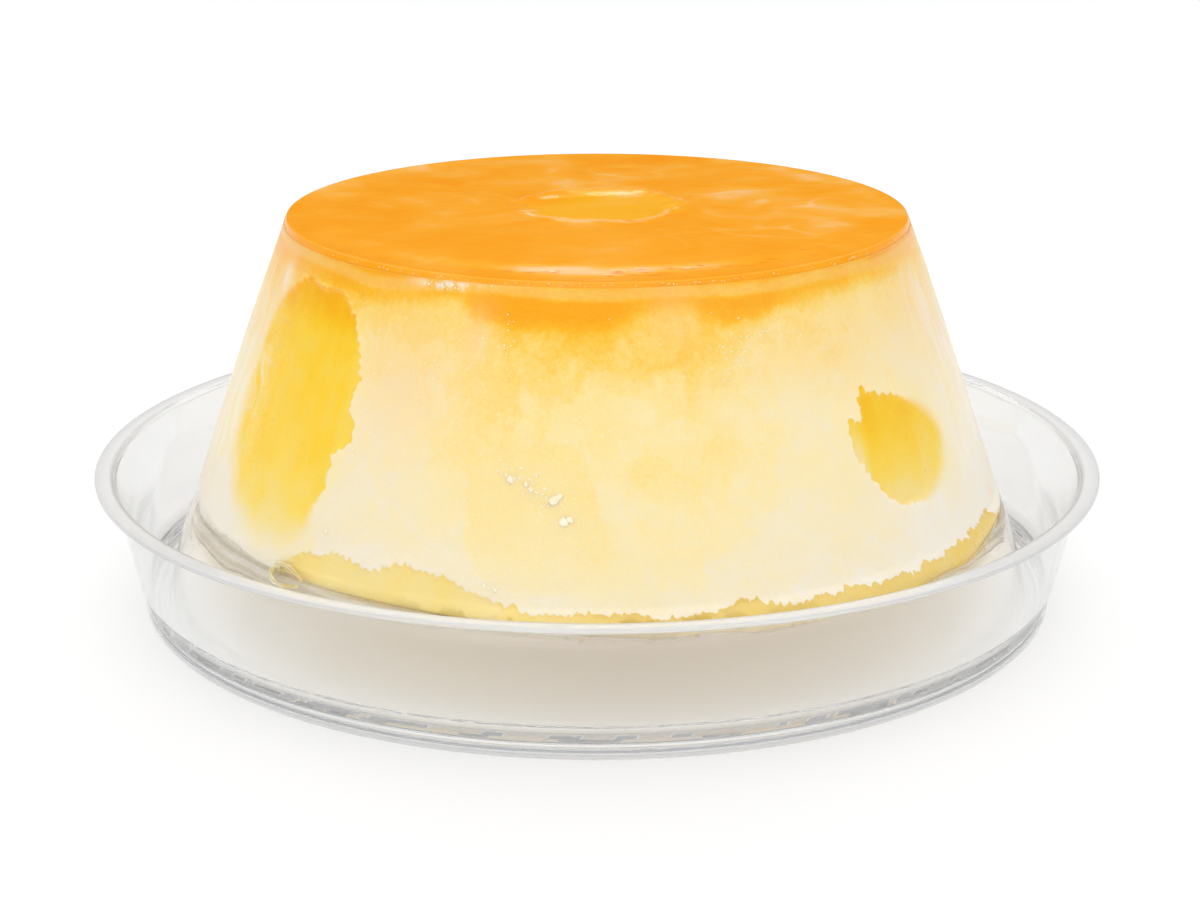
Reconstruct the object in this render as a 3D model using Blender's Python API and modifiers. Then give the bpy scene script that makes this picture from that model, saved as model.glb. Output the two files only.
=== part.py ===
"""Leche flan on its clear plastic cake base.

A steamed egg custard turned out of a tapered round tin, with the caramel layer on top, stands on
the raised middle of a shallow moulded base. Metres, +Z up. The origin is at the centre of the foot
ring, on the surface that the base stands on. Every piece is turned around Z.

Run with: blender --background --python part.py
"""
import math

import bpy

# Driving dimensions, in metres.
GAP = 0.0003                # clearance between pieces that rest on each other
TURN_STEPS = 72             # facets around each turned piece

# The clear base: one moulded sheet with a flat rim, a moat and a raised platform.
SHEET = 0.0010              # wall thickness all over
RIM_RADIUS = 0.1000         # outer edge of the flat rim
RIM_TOP = 0.0274            # height of the rim's upper face
WALL_TOP_RADIUS = 0.0968    # outer face of the wall under the rim
WALL_FOOT_RADIUS = 0.0925   # outer face of the wall above the step
STEP_HEIGHT = 0.0065        # where the wall steps in to the foot ring
FOOT_RADIUS = 0.0915        # outer face of the foot ring
FOOT_HEIGHT = 0.0050        # height of the foot ring's straight side
FOOT_CORNER = 0.0012        # rounding under the foot ring
SKIRT_LEAN = 17.0           # degrees that the skirt leans in from upright
PLATFORM_TOP = 0.0200       # upper face of the raised platform
PLATFORM_FLAT = 0.0774      # radius of the platform's flat, inside its shoulder
SHOULDER = 0.0057           # rounding of the upper face between platform and skirt

# The flan, from the platform up.
FLAN_TOP = 0.0765           # upper face of the caramel
FLAN_TOP_RADIUS = 0.0606
FLAN_BASE_RADIUS = 0.0800   # widest place, just above the foot
FLAN_BASE_HEIGHT = 0.0230
FLAN_FOOT_RADIUS = 0.0768   # the foot tucks in to this where it touches the platform
FLAN_BULGE = 0.00035        # how far the side swells past a straight taper
SIDE_RINGS = 12             # rings of faces up the custard's side

# The caramel layer and the dimple that the tin's raised centre leaves in it.
CARAMEL_DEPTH = 0.0030
CARAMEL_EDGE = 0.0008       # rounding of the top edge
DIMPLE_RADIUS = 0.0157
DIMPLE_DEPTH = 0.0009
DIMPLE_SLOPE = 0.0018       # width of the dimple's sloping side


def start_empty():
    """Remove the scene's objects, so that the model starts from nothing."""
    for leftover in list(bpy.data.objects):
        bpy.data.objects.remove(leftover, do_unlink=True)


def new_collection(name):
    collection = bpy.data.collections.new(name)
    bpy.context.scene.collection.children.link(collection)
    return collection


def principled(name, colour, roughness, alpha=1.0, transmission=0.0):
    """A Principled material: colour is linear RGB."""
    material = bpy.data.materials.new(name)
    material.use_nodes = True
    shader = material.node_tree.nodes["Principled BSDF"]
    shader.inputs["Base Color"].default_value = (*colour, 1.0)
    shader.inputs["Roughness"].default_value = roughness
    shader.inputs["Metallic"].default_value = 0.0
    shader.inputs["Transmission Weight"].default_value = transmission
    shader.inputs["Alpha"].default_value = alpha
    return material


def arc(centre_radius, centre_height, radius, start, end, pieces):
    """Points along an arc in the profile plane, with its angles in degrees from +X."""
    points = []
    for i in range(pieces + 1):
        angle = math.radians(start + (end - start) * i / pieces)
        points.append((centre_radius + radius * math.cos(angle),
                       centre_height + radius * math.sin(angle)))
    return points


def flan_radius(height):
    """Radius of the flan's side: a straight taper with a slight swelling."""
    down = (FLAN_TOP - height) / (FLAN_TOP - FLAN_BASE_HEIGHT)
    taper = FLAN_TOP_RADIUS + (FLAN_BASE_RADIUS - FLAN_TOP_RADIUS) * down
    return taper + FLAN_BULGE * math.sin(math.pi * down)


def turned(name, profile, material, collection):
    """An object whose (radius, height) profile is turned around Z by a Screw modifier."""
    mesh = bpy.data.meshes.new(name)
    vertices = [(radius, 0.0, height) for radius, height in profile]
    edges = [(i, i + 1) for i in range(len(profile) - 1)]
    mesh.from_pydata(vertices, edges, [])
    mesh.materials.append(material)

    piece = bpy.data.objects.new(name, mesh)
    collection.objects.link(piece)
    screw = piece.modifiers.new("Turn", "SCREW")
    screw.axis = "Z"
    screw.angle = math.tau
    screw.steps = TURN_STEPS
    screw.render_steps = TURN_STEPS
    screw.use_merge_vertices = True
    screw.merge_threshold = 0.00001
    screw.use_smooth_shade = True
    return piece


def make_dish(collection):
    """The base's underside, from the rim's edge to the axis, thickened upwards to the sheet."""
    shoulder = arc(PLATFORM_FLAT, PLATFORM_TOP - SHOULDER, SHOULDER - SHEET, SKIRT_LEAN, 90, 6)
    skirt_top, skirt_height = shoulder[0]
    skirt_foot = skirt_top + skirt_height * math.tan(math.radians(SKIRT_LEAN))

    profile = [(RIM_RADIUS, RIM_TOP - SHEET),
               (WALL_TOP_RADIUS, RIM_TOP - SHEET),
               (WALL_FOOT_RADIUS, STEP_HEIGHT),
               (FOOT_RADIUS, FOOT_HEIGHT)]
    profile += arc(FOOT_RADIUS - FOOT_CORNER, FOOT_CORNER, FOOT_CORNER, 0, -90, 3)
    profile.append((skirt_foot, 0.0))
    profile += shoulder
    profile.append((0.0, PLATFORM_TOP - SHEET))

    clear = principled("clear_plastic", (0.93, 0.94, 0.94), 0.05, alpha=0.3, transmission=1.0)
    dish = turned("dish", profile, clear, collection)
    sheet = dish.modifiers.new("Sheet", "SOLIDIFY")
    sheet.thickness = SHEET
    sheet.offset = -1.0
    sheet.use_even_offset = True
    return dish


def make_custard(collection):
    """The custard from the platform up to the caramel layer."""
    top = FLAN_TOP - CARAMEL_DEPTH - GAP
    bottom = PLATFORM_TOP + GAP
    tuck = FLAN_BASE_HEIGHT - bottom
    profile = [(0.0, top)]
    for i in range(SIDE_RINGS + 1):
        height = top + (FLAN_BASE_HEIGHT - top) * i / SIDE_RINGS
        profile.append((flan_radius(height), height))
    for turn in (30, 60, 90):
        angle = math.radians(turn)
        profile.append((FLAN_FOOT_RADIUS + (FLAN_BASE_RADIUS - FLAN_FOOT_RADIUS) * math.cos(angle),
                        FLAN_BASE_HEIGHT - tuck * math.sin(angle)))
    profile.append((0.0, bottom))

    steamed = principled("steamed_custard", (0.94, 0.78, 0.42), 0.45)
    return turned("custard", profile, steamed, collection)


def make_caramel(collection):
    """The caramel layer across the top, with its central dimple and rounded edge."""
    bottom = FLAN_TOP - CARAMEL_DEPTH
    dimple_floor = FLAN_TOP - DIMPLE_DEPTH
    profile = [(0.0, dimple_floor),
               (DIMPLE_RADIUS - DIMPLE_SLOPE, dimple_floor),
               (DIMPLE_RADIUS - DIMPLE_SLOPE / 2, FLAN_TOP - DIMPLE_DEPTH / 2),
               (DIMPLE_RADIUS, FLAN_TOP)]
    profile += arc(FLAN_TOP_RADIUS - CARAMEL_EDGE, FLAN_TOP - CARAMEL_EDGE, CARAMEL_EDGE, 90, 0, 4)
    profile.append((flan_radius(bottom), bottom))
    profile.append((0.0, bottom))

    soaked = principled("caramel", (0.95, 0.36, 0.02), 0.12)
    return turned("caramel_top", profile, soaked, collection)


def build():
    start_empty()
    flan = new_collection("leche_flan")
    make_dish(flan)
    make_custard(flan)
    make_caramel(flan)


build()
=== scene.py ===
"""Looks of a leche flan that stands on its clear moulded cake base.

Lengths are in millimetres until a mesh is made from them. Azimuth is in degrees around the flan:
0 is the front (-Y) and 90 is the right (+X). A torn patch is a place where the custard's skin
stayed in the tin, so that the smooth flesh under it shows.
"""

import math

import bmesh
import bpy
import numpy as np
from mathutils import Matrix, Vector


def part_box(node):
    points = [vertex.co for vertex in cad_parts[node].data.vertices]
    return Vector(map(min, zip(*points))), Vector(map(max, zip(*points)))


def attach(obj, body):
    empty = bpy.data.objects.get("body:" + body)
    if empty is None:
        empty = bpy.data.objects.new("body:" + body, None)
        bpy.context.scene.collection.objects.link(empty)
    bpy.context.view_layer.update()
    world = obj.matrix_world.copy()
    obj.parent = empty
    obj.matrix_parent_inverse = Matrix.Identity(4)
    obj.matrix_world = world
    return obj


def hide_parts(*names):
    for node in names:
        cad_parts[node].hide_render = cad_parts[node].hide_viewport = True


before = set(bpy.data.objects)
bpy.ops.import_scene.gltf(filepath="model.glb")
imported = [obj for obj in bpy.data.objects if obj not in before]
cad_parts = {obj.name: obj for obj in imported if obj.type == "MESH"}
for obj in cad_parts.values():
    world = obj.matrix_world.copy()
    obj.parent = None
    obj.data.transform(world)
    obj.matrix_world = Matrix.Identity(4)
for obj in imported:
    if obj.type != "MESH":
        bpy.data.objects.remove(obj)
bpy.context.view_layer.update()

MM = 0.001


def node_box(node):
    """Lowest and highest corners of a node, in millimetres."""
    low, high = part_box(node)
    return np.array(low) / MM, np.array(high) / MM


dish_low, dish_high = node_box("dish")
custard_low, custard_high = node_box("custard")
caramel_low, caramel_high = node_box("caramel_top")

# The clear base, as the frame has it.
RIM_RADIUS = dish_high[0]
SHEET = 1.0                       # thickness of the moulded sheet
RIM_UNDER = round(dish_high[2], 1) - SHEET
PLATFORM = custard_low[2] - 0.3   # upper face of the raised platform
PLATFORM_FLAT = 77.4              # radius of its flat, inside the shoulder
SHOULDER = 5.7                    # rounding of the platform's edge
SKIRT_LEAN = 17.0                 # degrees from upright

# The flan, as the frame has it.
TOP = caramel_high[2]
SEAM = caramel_low[2]             # height where the caramel layer starts
SEAM_RADIUS = caramel_high[0]
FOOT_RADIUS = custard_high[0]     # widest place of the side
WIDEST = 23.0                     # height of that place
SWELL = 0.35                      # how far the side swells past a straight taper
CROWN = 75.1                      # height where the side meets the glossy lip of the caramel
TURN = math.tau * 70.0            # length around the side at half height

COLUMNS = 820                     # columns of faces around the custard
SIDE_ROWS = 100
FOOT_ROWS = 12
FRONT_DENSITY = 0.3               # how much closer the columns are at the front than on average


# ---------------------------------------------------------------- numbers and noise

def eased(value, low, high):
    """0 below low, 1 above high, and a smooth rise between them."""
    share = np.clip((value - low) / (high - low), 0, 1)
    return share * share * (3 - 2 * share)


def lattice_noise(across, up, seed, columns):
    """Smooth noise from -1 to 1 with about one feature per unit; it closes after so many columns."""
    table = np.random.default_rng(seed).uniform(-1, 1, (columns, 97))
    column, row = np.floor(across).astype(int), np.floor(up).astype(int)
    share_x, share_y = across - column, up - row
    share_x = share_x * share_x * (3 - 2 * share_x)
    share_y = share_y * share_y * (3 - 2 * share_y)
    left, right = column % columns, (column + 1) % columns
    below, above = row % 97, (row + 1) % 97
    low = table[left, below] * (1 - share_x) + table[right, below] * share_x
    high = table[left, above] * (1 - share_x) + table[right, above] * share_x
    return low * (1 - share_y) + high * share_y


def side_noise(azimuth, height, across, tall, seed):
    """Noise over the flan's side, with features so many millimetres across and tall."""
    columns = max(3, round(TURN / across))
    return lattice_noise(azimuth / 360 * columns, height / tall, seed, columns)


def clouds(azimuth, height, size, seed):
    """Three octaves of side noise."""
    total = 0.0
    for octave in range(3):
        part = size / 2 ** octave
        total = total + side_noise(azimuth, height, part, part, seed + octave) / 2 ** octave
    return total / 1.5


def flat_noise(x, y, size, seed):
    """Smooth noise over a level surface."""
    return lattice_noise(x / size + 500, y / size + 500, seed, 1009)


def round_the_flan(azimuth, places):
    """A value that changes around the flan, from (azimuth, value) places."""
    angles, values = zip(*places)
    return np.interp(azimuth, angles, values, period=360)


def blot(azimuth, height, at, size):
    """A soft round mark: at is (azimuth, height), size is its half width in degrees and millimetres."""
    gap = (azimuth - at[0] + 180) % 360 - 180
    return np.exp(-(gap / size[0]) ** 2 - ((height - at[1]) / size[1]) ** 2)


# ---------------------------------------------------------------- torn patches

# Each outline runs round its patch: azimuth, height, and how ragged the skin's edge is there,
# from 0 for an edge that thins out softly to 1 for one that broke off.
LEFT_PATCH = ((-60, 69.5, .7), (-56, 70.6, .8), (-50, 70.4, .8), (-45, 69, .8), (-42, 66, .8),
              (-40.3, 63, 1), (-39.3, 59.5, 1), (-38.4, 56, 1), (-39.2, 53, 1), (-38, 50, 1),
              (-37.6, 46.5, 1), (-39.7, 43, .9), (-40.6, 38, .8), (-41.8, 33, .5), (-44, 28.5, .1),
              (-52, 26, 0), (-60.5, 30, 0), (-64.5, 36, 0), (-66.3, 41, .1), (-68.3, 45, .15),
              (-67.3, 50, .15), (-66.2, 54, .15), (-66.6, 58, .2), (-66, 63, .3), (-63.3, 67, .5))
RIGHT_PATCH = ((44, 54, 1), (47, 52.2, .9), (51, 51, .7), (54, 49.6, .5), (57.5, 47, .3),
               (60, 43.5, .25), (60.3, 39.5, .2), (58, 35.6, .25), (54, 32.8, .4), (51, 32, .6),
               (47, 33, .8), (44.3, 35.2, .8), (42, 38, .9), (40, 41, 1), (38.8, 45, 1),
               (39.4, 48.6, 1), (41.4, 48.4, 1), (42, 51.6, 1))
BACK_PATCH = ((122, 63, .8), (129, 65, .9), (137, 63.5, .9), (141, 58, 1), (139, 52, 1),
              (142, 46, .9), (138, 41, .7), (131, 38.5, .3), (124, 41, .1), (119.5, 47, .1),
              (121, 53, .3), (118.5, 58, .6))
BACK_SPOT = ((-152, 47, .9), (-147, 49.5, 1), (-141, 48, .9), (-138.5, 43.5, .7), (-140, 38, .4),
             (-145, 35.5, .3), (-150.5, 37, .6), (-153.5, 41.5, 1))
TORN_PATCHES = (LEFT_PATCH, RIGHT_PATCH, BACK_PATCH, BACK_SPOT)

# A smooth, slightly yellower panel low on the front, where a film of skin slid off.
FRONT_PANEL = ((-18, 43, .3), (-15.5, 47, .2), (-9, 49.5, .1), (-3, 49.5, .2), (-1, 45, .3),
               (1, 38, .3), (3.2, 31, .3), (5, 26.5, .2), (-3, 25, .1), (-11, 25.5, .1),
               (-15.5, 28, .3), (-17.5, 35, .3))
SIDE_PANEL = ((150, 56, .3), (158, 60, .3), (167, 58, .2), (170, 48, .3), (173, 38, .3),
              (166, 30, .1), (156, 31, .1), (151, 42, .3))
PANELS = (FRONT_PANEL, SIDE_PANEL)

# The skin's lower edge around the flan; below it the flesh bulges over the platform's shoulder.
SKIN_EDGE = ((-180, 23.5), (-165, 24.5), (-150, 22), (-135, 19), (-100, 18), (-60, 18), (-47, 19),
             (-45.5, 22.6), (-42, 25.6), (-36, 27.2), (-30, 26.2), (-25, 27.8), (-21, 27.2), (-18, 25.6),
             (-13, 23.4), (-9, 22.3), (-3, 22), (4, 22.4), (9, 21.9), (14, 22.1), (18, 23.4),
             (22, 23), (25, 21.9), (30, 21.9), (36, 22.2), (44, 21.7), (52, 22.2), (60, 22.8), (66, 23.4),
             (69, 23.2), (71, 22), (74, 20.8), (80, 20.2), (88, 20), (100, 20), (120, 20.5),
             (140, 23.5), (160, 25))
DROOP = ((-180, .5), (-160, .8), (-140, .3), (-120, 0), (-32, 0), (-22, .12), (-12, .5), (0, .9),
         (20, 1), (50, 1), (66, .85), (78, .6), (95, .15), (125, .1), (150, .5))


def smooth_outline(outline, spacing):
    """Points about so far apart on a closed smooth curve through the outline's points."""
    points = np.array(outline, float)
    found = []
    for i in range(len(points)):
        before, start = points[i - 1], points[i]
        end, after = points[(i + 1) % len(points)], points[(i + 2) % len(points)]
        steps = max(2, round(math.dist(start[:2], end[:2]) / spacing))
        for share in np.arange(steps) / steps:
            found.append(0.5 * (2 * start + (end - before) * share
                                + (2 * before - 5 * start + 4 * end - after) * share ** 2
                                + (3 * start - before - 3 * end + after) * share ** 3))
    return np.array(found)


def crumble(along, pitch, seed):
    """Smooth bumps from -1 to 1 along a line, uneven in pitch and height."""
    draw = np.random.default_rng(seed)
    count = int(700 / pitch)
    knots = np.cumsum(draw.uniform(0.5, 1.5, count) * pitch)
    heights = draw.uniform(-1, 1, count)
    after = np.clip(np.searchsorted(knots, along), 1, count - 1)
    share = eased((along - knots[after - 1]) / (knots[after] - knots[after - 1]), 0, 1)
    return heights[after - 1] * (1 - share) + heights[after] * share


def sawn(along, pitch, seed):
    """Pointed teeth to either side of a line, uneven in pitch and height."""
    draw = np.random.default_rng(seed)
    count = int(700 / pitch)
    knots = np.cumsum(draw.uniform(0.3, 1.1, count) * pitch)
    return np.interp(along, knots, draw.uniform(0.1, 1, count) * np.where(np.arange(count) % 2, 1, -1))


def teeth(along, seed):
    """Bites and crumbs along a torn edge, in millimetres to either side."""
    uneven = 1.1 + 0.45 * crumble(along, 5.0, seed + 3)
    return (0.75 * crumble(along, 3.4, seed) + 0.7 * uneven * sawn(along, 1.4, seed + 1)
            + 0.35 * sawn(along, 0.55, seed + 2))


def patch_field(azimuth, height, outline, seed):
    """Distance inside a patch's border, negative outside, and how ragged the border is there."""
    middle_azimuth = np.mean([point[0] for point in outline])
    middle_height = np.mean([point[1] for point in outline])
    degree = math.radians(1) * side_radius(middle_height)
    points = [((a - middle_azimuth) * degree, h - middle_height, rag) for a, h, rag in outline]
    border = smooth_outline(points, 0.3)
    ahead = np.roll(border[:, :2], -1, axis=0) - np.roll(border[:, :2], 1, axis=0)
    length = np.hypot(ahead[:, 0], ahead[:, 1])
    outward = np.stack([-ahead[:, 1], ahead[:, 0]], 1) / length[:, None]
    bite = np.clip(border[:, 2], 0, 1) * teeth(np.cumsum(length / 2), seed)
    border[:, :2] += outward * bite[:, None]

    arc = ((azimuth - middle_azimuth + 180) % 360 - 180) * degree
    rise = height - middle_height
    reach = np.abs(border[:, :2]).max() + 6
    near = (np.abs(arc) < reach) & (np.abs(rise) < reach)
    arc, rise = arc[near], rise[near]
    closest = np.full(arc.shape, 1e9)
    ragged = np.zeros(arc.shape)
    inside = np.zeros(arc.shape, bool)
    for i in range(len(border)):
        (x, y, _), (end_x, end_y, rag) = border[i - 1], border[i]
        step_x, step_y = end_x - x, end_y - y
        share = np.clip(((arc - x) * step_x + (rise - y) * step_y)
                        / (step_x ** 2 + step_y ** 2 + 1e-12), 0, 1)
        gap = (arc - x - share * step_x) ** 2 + (rise - y - share * step_y) ** 2
        nearer = gap < closest
        closest[nearer] = gap[nearer]
        ragged[nearer] = rag
        crossing = (y > rise) != (end_y > rise)
        inside ^= crossing & (arc < x + (rise - y) * step_x / (step_y + 1e-12))
    depth = np.full(azimuth.shape, -6.0)
    edge = np.zeros(azimuth.shape)
    depth[near] = np.clip(np.where(inside, 1, -1) * np.sqrt(closest), -6, 6)
    edge[near] = np.clip(ragged, 0, 1)
    return depth, edge


def side_radius(height):
    """Radius of the tin's side."""
    taper = (FOOT_RADIUS - SEAM_RADIUS) / (SEAM - WIDEST)
    down = np.clip((TOP - height) / (TOP - WIDEST), 0, 1)
    return SEAM_RADIUS + taper * (SEAM - np.maximum(height, WIDEST)) + SWELL * np.sin(math.pi * down)


# ---------------------------------------------------------------- what the side is like

# How far caramel has soaked into the skin at each height: 0 is pale cream, 1 is deep orange.
SOAK = ((22, .18), (27, .28), (32, .37), (37, .42), (42, .46), (47, .49), (52, .5), (57, .54),
        (62, .63), (66, .7), (69, .78), (75, .8))
PALER = ((-180, .2), (-140, .12), (-110, .24), (-80, .2), (-66, .2), (-38, .17), (-24, .15),
         (-17, .04), (0, 0), (14, .03), (27, .13), (45, .19), (60, .23), (75, .3), (95, .3),
         (130, .12))
DEEP_BAND = ((-85, .45), (-70, .5), (-55, .7), (-45, .6), (-38, .4), (-30, .45), (-21.5, .3), (-17.5, 1),
             (2, 1), (9, .5), (16, .45), (20, .95), (26, .9), (32, .5), (45, .5), (60, .35), (75, .15),
             (95, .2), (112, .5), (118, 1), (150, .9), (158, .4), (178, .7), (196, .4), (204, .95),
             (240, .85), (262, .5))
BAND_FOOT = ((-85, 69.2), (-45, 69.8), (-38, 69.4), (-21, 69.2), (-18, 67.0), (2, 67.2), (9, 69.4),
             (16, 69.2), (20, 66.8), (26, 67), (32, 69), (75, 69.4), (112, 66.5), (160, 66.5), (180, 68),
             (240, 66.5))
TOP_FADE = ((-80, 0), (-45, .02), (-38, .13), (-30, .1), (-23, .13), (-20, 0), (5, 0), (9, .1), (15, .12),
            (18, 0), (26, 0), (31, .1), (40, .15), (60, .18), (80, .18), (100, .1), (120, 0))
FLESH = ((24, .05), (27, .2), (32, .36), (37, .45), (42, .5), (47, .53), (52, .56), (57, .57),
         (62, .66), (66, .88), (69, .97))


def by_height(height, places):
    heights, values = zip(*places)
    return np.interp(height, heights, values)


def side_marks(azimuth, height):
    """Everything that changes over the flan's side, each value in its own array."""
    marks = {}
    torn = np.full(azimuth.shape, -6.0)
    edge = np.ones(azimuth.shape)
    for seed, outline in enumerate(TORN_PATCHES):
        depth, ragged = patch_field(azimuth, height, outline, 20 + seed)
        deeper = depth > torn
        torn[deeper] = depth[deeper]
        edge[deeper] = ragged[deeper]
    soft = 0.15 + 7.0 * (1 - edge) ** 2

    along = ((azimuth + 180) % 360) / 360 * math.tau * FOOT_RADIUS
    skin_edge = round_the_flan(azimuth, SKIN_EDGE) + 0.8 * teeth(along, 31)
    ledge = (skin_edge - height) * 0.8
    on_ledge = ledge > torn
    torn = np.where(on_ledge, ledge, torn)
    marks["torn"] = torn
    marks["soft"] = np.where(on_ledge, 0.12 + 3 * blot(azimuth, height * 0, (-46.5, 0), (2.6, 1)), soft)

    panel = np.full(azimuth.shape, -6.0)
    for seed, outline in enumerate(PANELS):
        panel = np.maximum(panel, patch_field(azimuth, height, outline, 40 + seed)[0])
    marks["panel"] = panel

    runs = side_noise(azimuth, height, 5, 40, 5) * (1 - eased(height, 66, 72))
    swept = height + 0.9 * clouds(azimuth, height, 24, 3) + 0.4 * clouds(azimuth, height, 7, 7) + 1.1 * runs
    soak = by_height(swept, SOAK) - round_the_flan(azimuth, PALER) * eased(height, 74, 62)
    soak = soak - round_the_flan(azimuth, TOP_FADE) * eased(height, 64, 70) * (1 - eased(height, 71.8, 73))
    wander = azimuth + 1.8 * clouds(azimuth, height, 5, 8) + 1.2 * clouds(azimuth, height, 2, 9)
    band_foot = round_the_flan(wander, BAND_FOOT)
    band = eased(swept, band_foot, band_foot + 3.6) * (1 - eased(swept, 72.5, 73.2))
    soak = soak + 0.2 * blot(azimuth, height, (-45, 26), (5, 4.5))
    soak = soak + (1 - soak) * band * round_the_flan(wander, DEEP_BAND)
    soak = soak + (0.97 - soak) * eased(swept, 74.7, 75.4)

    bent = azimuth + 1.6 * side_noise(azimuth, height, 6, 6, 101)
    lifted = height + 2.2 * side_noise(azimuth, height, 6, 6, 102)
    sheets = eased(clouds(bent, lifted, 13, 103), 0.05, 0.1) * 0.055
    flakes = eased(clouds(bent, lifted, 6, 107), 0.12, 0.2) * 0.045
    crumbs = eased(clouds(bent, lifted, 2.6, 113), 0.2, 0.34) * 0.04
    slid = eased(panel, -0.15, 0.35)
    upper = 0.35 + 0.65 * eased(height, 74, 66)
    mottle = 0.055 * clouds(azimuth, height, 9, 117) - (sheets + flakes + crumbs) * (1 - slid) * upper
    marks["soak"] = soak + 0.03 * clouds(azimuth, height, 14, 11) + mottle + 0.04

    flank = eased(np.abs(azimuth), 48, 72) * eased(height, 42, 70)
    tongue = blot(azimuth, height, (-18.6, 67), (2.6, 4.6)) * 0.5
    gap = blot(azimuth, height, (12, 70), (4, 5)) * 0.4
    stripe = eased(swept, 72.8, 73.5) * (1 - eased(swept, 74.5, 75.1)) * 0.34 + gap
    left_skin = blot(azimuth, height, (-30, 58), (9, 12)) * 0.45
    spot = blot(azimuth, height, (74.5, 25.3), (1.3, 1.6))
    marks["peach"] = np.clip(0.4 * spot + 0.3 * blot(azimuth, height, (42, 63), (20, 8)) + 0.55 * flank + tongue + stripe + left_skin, 0, 1)
    marks["soak"] = marks["soak"] - 0.3 * tongue

    right_flesh = by_height(height, ((32, .1), (37, .32), (42, .52), (47, .68), (52, .78)))
    on_right = (azimuth > 30) & (azimuth < 70) & (height > WIDEST + 6)
    marks["flesh"] = np.where(on_right, right_flesh, by_height(height, FLESH))
    marks["flesh"] += 0.06 * clouds(azimuth, height, 11, 15) + 0.07 * side_noise(azimuth, height, 3, 3, 16)
    marks["flesh"] += 0.06 * side_noise(azimuth, height, 1.7, 10, 17)
    marks["flesh"] -= 0.5 * blot(azimuth, height, (40.4, 42.5), (1.5, 6))
    right_side = eased(azimuth, -14, 12) * (1 - eased(azimuth, 150, 175))
    marks["flesh"] = np.where(on_ledge, 0.12 + 0.1 * clouds(azimuth, height, 4, 60), marks["flesh"])
    middle = blot(azimuth, height * 0, (4, 0), (10, 1))
    marks["ochre"] = np.where(on_ledge, 0.06 + 0.44 * right_side + 0.22 * middle,
                              np.where(on_right, 0.14, 0.0))

    wet = eased(height, 22.4, 20.6) * (on_ledge | (height < 20.8))
    front_foot = blot(azimuth, height * 0, (0, 0), (24, 1)) + blot(azimuth, height * 0, (180, 0), (40, 1))
    marks["brown"] = wet * front_foot * eased(clouds(azimuth, height, 2.6, 59), -0.1, 0.3)
    lit_fold = np.exp(-((height - 22.2) / 1.0) ** 2) * round_the_flan(azimuth, DROOP)
    marks["shade"] = 0.03 + 0.015 * eased(height, 50, 60) + 0.13 * np.where(on_ledge, 0.3, 1) * lit_fold
    # Painted sheen: pale streaks on both flanks stand in for reflections of the side lamps. The curled flap, creases
    # on the left flank and froth under the lip join the same pale mark.
    left_film = eased(-azimuth, 59, 70) * (1 - eased(-azimuth, 96, 112)) * (1 - 0.6 * eased(height, 48, 60))
    right_film = eased(azimuth, 56, 72) * (1 - eased(azimuth, 95, 120)) * 0.8
    marks["film"] = (left_film + right_film) * eased(height, 22, 34) * (1 - eased(height, 69, 73))
    marks["flap"] = blot(azimuth, height, (-64.8, 69.3), (2.0, 2.4))
    streaks = eased(side_noise(bent, height, 1.6, 9, 55) + 0.5 * clouds(azimuth, height, 6, 57), -0.1, 0.8)
    creases = np.clip(1 - np.abs(side_noise(bent, lifted, 1.6, 3.0, 56)) / 0.2, 0, 1)
    creases = creases * blot(azimuth, height, (-64.5, 49), (4, 12)) * 0.45
    lip_froth = blot(azimuth, height, (-25, 74.3), (5, 0.6)) * eased(clouds(azimuth, height, 1.8, 58), -0.1, 0.3)
    marks["veil"] = np.clip(marks["film"] * streaks * 0.5 + marks["flap"] * 0.6 + creases + lip_froth, 0, 1)
    return marks


def side_relief(azimuth, height, marks):
    """How far each place stands out from the tin's side."""
    torn, soft = marks["torn"], marks["soft"]
    waves = 0.2 * side_noise(azimuth, height, 30, 24, 51) + 0.09 * side_noise(azimuth, height, 9, 9, 52)
    inside = eased(torn, -0.1, np.maximum(0.5, soft))
    grain = 0.05 * side_noise(azimuth, height, 2.6, 2.6, 53) + 0.03 * side_noise(azimuth, height, 1.2, 1.2, 54)
    curl = 0.09 * np.exp(-((torn + 0.45) / 0.4) ** 2) * (soft < 1.2)
    wrinkles = 0.16 * marks["veil"]
    slid = -0.06 * eased(marks["panel"], -0.2, 0.5)
    flap = 0.45 * marks["flap"] * (1 - inside)
    relief = waves + (grain + wrinkles + curl) * (1 - inside) - 0.55 * inside + slid + flap
    return relief * eased(height, CROWN, CROWN - 2.5)


def turn_to_place(azimuth, radius, height):
    """Points from azimuth, radius and height."""
    angle = np.radians(azimuth)
    return np.stack([radius * np.sin(angle), -radius * np.cos(angle), height], -1)


# ---------------------------------------------------------------- making meshes

def mesh_piece(name, points, faces, finish):
    """A smooth-shaded object in metres from points in millimetres; it rides on the root body."""
    mesh = bpy.data.meshes.new(name)
    mesh.from_pydata((np.asarray(points) * MM).tolist(), [], faces)
    mesh.shade_smooth()
    mesh.materials.append(finish)
    piece = bpy.data.objects.new(name, mesh)
    bpy.context.scene.collection.objects.link(piece)
    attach(piece, "root")
    return piece


def wrap_faces(rows, columns):
    """Quads between closed rings that follow each other downwards around the axis."""
    row, column = np.mgrid[0:rows - 1, 0:columns]
    beside = (column + 1) % columns
    quads = np.stack([row * columns + column, (row + 1) * columns + column,
                      (row + 1) * columns + beside, row * columns + beside], -1)
    return quads.reshape(-1, 4).tolist()


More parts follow.
